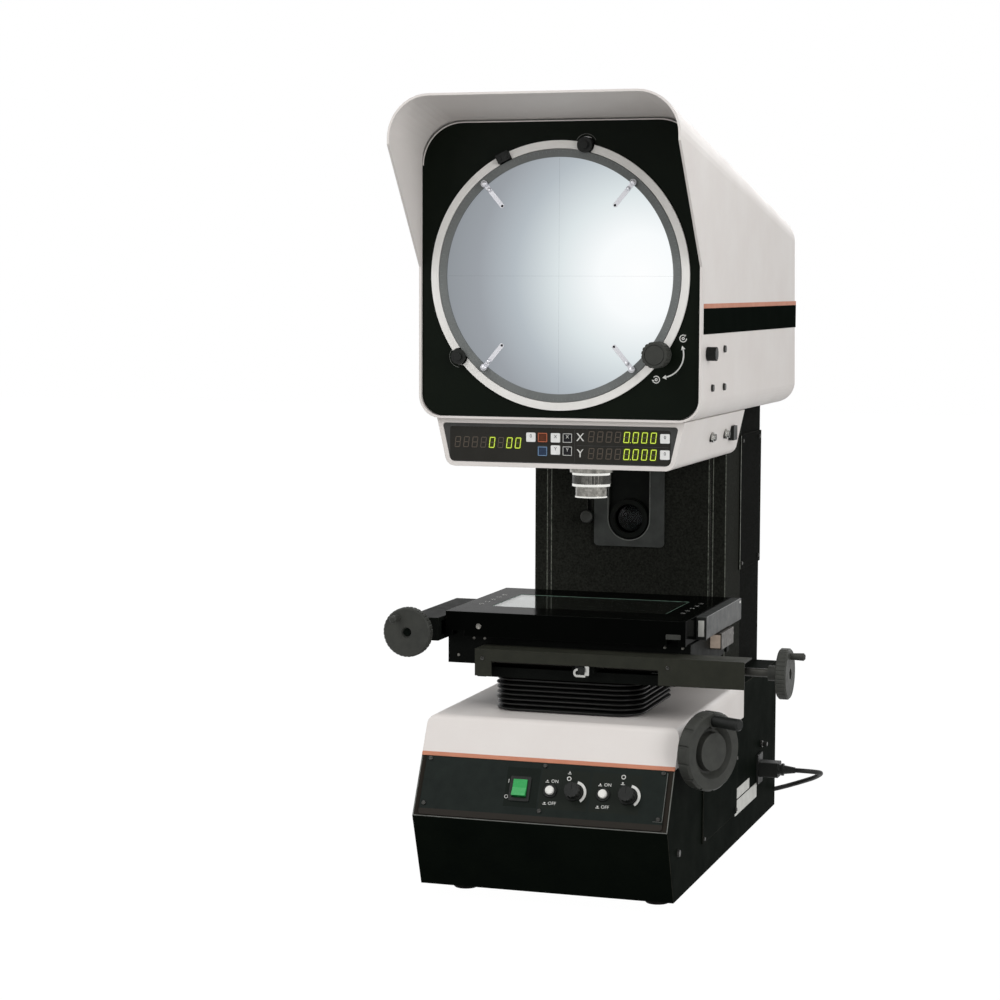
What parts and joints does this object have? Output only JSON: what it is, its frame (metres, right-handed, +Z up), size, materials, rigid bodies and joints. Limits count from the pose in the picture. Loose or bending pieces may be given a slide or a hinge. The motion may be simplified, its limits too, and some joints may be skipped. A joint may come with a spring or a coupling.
{
  "type": "optical comparator",
  "caption": "Bench optical comparator: hooded head with a round rotating screen, digital counter, glass cross-travel stage on a lifting column, oblique focus handwheel and sloped control base.",
  "frame": {"origin": "on the floor, midway between the four feet of the base", "axes": "+Z up, -Y towards the operator at the screen, +X to the operator's right"},
  "size_m": [0.554, 0.8894, 1.048],
  "materials": {
    "housing_black": "fine wrinkle paint",
    "cover_pale": "satin paint",
    "head_pale": "moulded, satin",
    "front_black": "satin black",
    "panel_dark": "satin",
    "plastic_black": "satin",
    "knob_grey": "satin",
    "rubber_black": "matte",
    "bellows_black": "matte",
    "screw_steel": "plated",
    "cast_dark": "painted casting",
    "rail_olive": "satin olive grey",
    "lamp_metal": "dull",
    "optic_glass": "polished",
    "screen_glass": "ground",
    "mirror_silver": "first surface mirror",
    "plate_grey": "satin grey",
    "barrel_black": "black anodised",
    "bezel_silver": "satin",
    "band_grey": "grey anodised",
    "lens_silver": "satin chrome",
    "shaft_steel": "ground",
    "table_metal": "black anodised",
    "reader_black": "satin black",
    "rocker_green": "translucent green",
    "button_white": "glossy"
  },
  "bodies": {
    "stand": {"base_housing": "housing_black", "top_cover": "cover_pale", "control_panel": "panel_dark", "casing_screws": "screw_steel", "rubber_feet": "rubber_black", "panel_fittings": "plastic_black", "service_panel": "housing_black", "side_sockets": "plastic_black", "column_guide": "cast_dark", "lamp_house": "lamp_metal", "lenses": "optic_glass", "mirrors": "mirror_silver", "stand_column": "housing_black", "column_rear_cover": "housing_black", "surface_light_plate": "plate_grey", "head_shell": "head_pale", "head_front_panel": "front_black", "screen_bezel": "bezel_silver", "screen_guides": "lamp_metal", "counter_housing": "cover_pale", "counter_window": "panel_dark", "objective": "lens_silver", "bellows": "bellows_black", "power_connector": "plastic_black", "power_cord": "rubber_black", "cord_coil": "rubber_black", "mains_plug": "plastic_black"},
    "lift": {"lift_column": "shaft_steel", "stage_saddle": "cast_dark", "x_rail_cover": "rail_olive"},
    "focus_drive": {"focus_handwheel": "knob_grey", "focus_pinion": "shaft_steel"},
    "focus_grip": {"focus_grip": "plastic_black"},
    "x_slide": {"x_carriage": "cast_dark", "y_reader": "reader_black"},
    "x_drive": {"x_feed_screw": "shaft_steel", "x_handwheel": "knob_grey"},
    "x_release": {"x_release_lever": "shaft_steel"},
    "y_table": {"stage_table": "table_metal", "stage_glass": "optic_glass", "y_scale": "bezel_silver"},
    "y_drive": {"y_feed_screw": "shaft_steel", "y_handwheel": "knob_grey"},
    "surface_light": {"surface_light_barrel": "barrel_black", "surface_lens": "optic_glass"},
    "screen": {"screen_frame": "band_grey", "ground_glass": "screen_glass"},
    "clip_1": {"chart_clip_1": "shaft_steel"},
    "clip_2": {"chart_clip_2": "shaft_steel"},
    "clip_3": {"chart_clip_3": "shaft_steel"},
    "clip_4": {"chart_clip_4": "shaft_steel"},
    "roller_1": {"guide_roller_1": "plastic_black"},
    "roller_2": {"guide_roller_2": "plastic_black"},
    "turn_knob": {"screen_drive_knob": "knob_grey"},
    "clamp_knob": {"rotation_clamp_knob": "plastic_black"},
    "rocker": {"power_rocker": "rocker_green"},
    "button_1": {"contour_button": "button_white"},
    "button_2": {"surface_button": "button_white"},
    "dimmer_1": {"contour_dimmer": "knob_grey"},
    "dimmer_2": {"surface_dimmer": "knob_grey"}
  },
  "joints": [
    {"name": "stage_lift", "type": "slide", "parent": "stand", "child": "lift", "axis": [0, 0, 1], "range_m": [-0.01, 0.08], "deforming": ["bellows"]},
    {"name": "focus_turn", "type": "hinge", "parent": "stand", "child": "focus_drive", "pos_m": [-0.02652, -0.1436, 0.212], "axis": [0.8894, -0.4571, 0], "range_deg": [-52, 409]},
    {"name": "focus_grip_spin", "type": "hinge", "parent": "focus_drive", "child": "focus_grip", "pos_m": [-0.02652, -0.1436, 0.252], "axis": [0.8894, -0.4571, 0], "continuous": true},
    {"name": "cross_travel_x", "type": "slide", "parent": "lift", "child": "x_slide", "axis": [1, 0, 0], "range_m": [-0.05, 0.05]},
    {"name": "x_screw_turn", "type": "hinge", "parent": "lift", "child": "x_drive", "pos_m": [0, -0.226, 0.3113], "axis": [1, 0, 0], "range_deg": [-1802, 1802]},
    {"name": "x_release_turn", "type": "hinge", "parent": "x_slide", "child": "x_release", "pos_m": [0.032, -0.24135, 0.305], "axis": [0, 1, 0], "range_deg": [0, 45]},
    {"name": "cross_travel_y", "type": "slide", "parent": "x_slide", "child": "y_table", "axis": [0, 1, 0], "range_m": [-0.025, 0.025]},
    {"name": "y_screw_turn", "type": "hinge", "parent": "x_slide", "child": "y_drive", "pos_m": [-0.197, -0.2, 0.35], "axis": [0, 1, 0], "range_deg": [-902, 902]},
    {"name": "surface_light_slide", "type": "slide", "parent": "stand", "child": "surface_light", "axis": [0, 0, 1], "range_m": [0, 0.04]},
    {"name": "screen_turn", "type": "hinge", "parent": "stand", "child": "screen", "pos_m": [0, -0.254, 0.82], "axis": [0, 1, 0], "continuous": true},
    {"name": "clip_1_swing", "type": "hinge", "parent": "screen", "child": "clip_1", "pos_m": [0.09995, -0.258, 0.93912], "axis": [0, 1, 0], "range_deg": [-60, 60]},
    {"name": "clip_2_swing", "type": "hinge", "parent": "screen", "child": "clip_2", "pos_m": [-0.09995, -0.258, 0.93912], "axis": [0, 1, 0], "range_deg": [-60, 60]},
    {"name": "clip_3_swing", "type": "hinge", "parent": "screen", "child": "clip_3", "pos_m": [-0.09995, -0.258, 0.70088], "axis": [0, 1, 0], "range_deg": [-60, 60]},
    {"name": "clip_4_swing", "type": "hinge", "parent": "screen", "child": "clip_4", "pos_m": [0.09995, -0.258, 0.70088], "axis": [0, 1, 0], "range_deg": [-60, 60]},
    {"name": "roller_1_spin", "type": "hinge", "parent": "stand", "child": "roller_1", "pos_m": [0.03567, -0.254, 0.9878], "axis": [0, 1, 0], "continuous": true},
    {"name": "roller_2_spin", "type": "hinge", "parent": "stand", "child": "roller_2", "pos_m": [-0.13518, -0.254, 0.71438], "axis": [0, 1, 0], "continuous": true},
    {"name": "turn_knob_spin", "type": "hinge", "parent": "stand", "child": "turn_knob", "pos_m": [0.13717, -0.254, 0.72034], "axis": [0, 1, 0], "continuous": true},
    {"name": "clamp_knob_turn", "type": "hinge", "parent": "stand", "child": "clamp_knob", "pos_m": [0.191, -0.226, 0.721], "axis": [1, 0, 0], "range_deg": [-90, 90]},
    {"name": "rocker_tip", "type": "hinge", "parent": "stand", "child": "rocker", "pos_m": [-0.03, -0.31536, 0.15599], "axis": [1, 0, 0], "range_deg": [0, 16]},
    {"name": "contour_button_press", "type": "slide", "parent": "stand", "child": "button_1", "axis": [0, 0.8886, -0.4586], "range_m": [0, 0.003], "stiffness_N_per_m": 500},
    {"name": "surface_button_press", "type": "slide", "parent": "stand", "child": "button_2", "axis": [0, 0.8886, -0.4586], "range_m": [0, 0.003], "stiffness_N_per_m": 500},
    {"name": "contour_dimmer_turn", "type": "hinge", "parent": "stand", "child": "dimmer_1", "pos_m": [0.043, -0.31536, 0.15599], "axis": [0, -0.8886, 0.4586], "range_deg": [-135, 135]},
    {"name": "surface_dimmer_turn", "type": "hinge", "parent": "stand", "child": "dimmer_2", "pos_m": [0.115, -0.31536, 0.15599], "axis": [0, -0.8886, 0.4586], "range_deg": [-135, 135]}
  ],
  "couplings": [
    {"joint": "focus_turn", "follows": "stage_lift", "rad_per_m": 88.889},
    {"joint": "x_screw_turn", "follows": "cross_travel_x", "rad_per_m": 628.32},
    {"joint": "y_screw_turn", "follows": "cross_travel_y", "rad_per_m": 628.32},
    {"joint": "roller_1_spin", "follows": "screen_turn", "ratio": -20.4},
    {"joint": "roller_2_spin", "follows": "screen_turn", "ratio": -20.4},
    {"joint": "turn_knob_spin", "follows": "screen_turn", "ratio": -27.2}
  ]
}
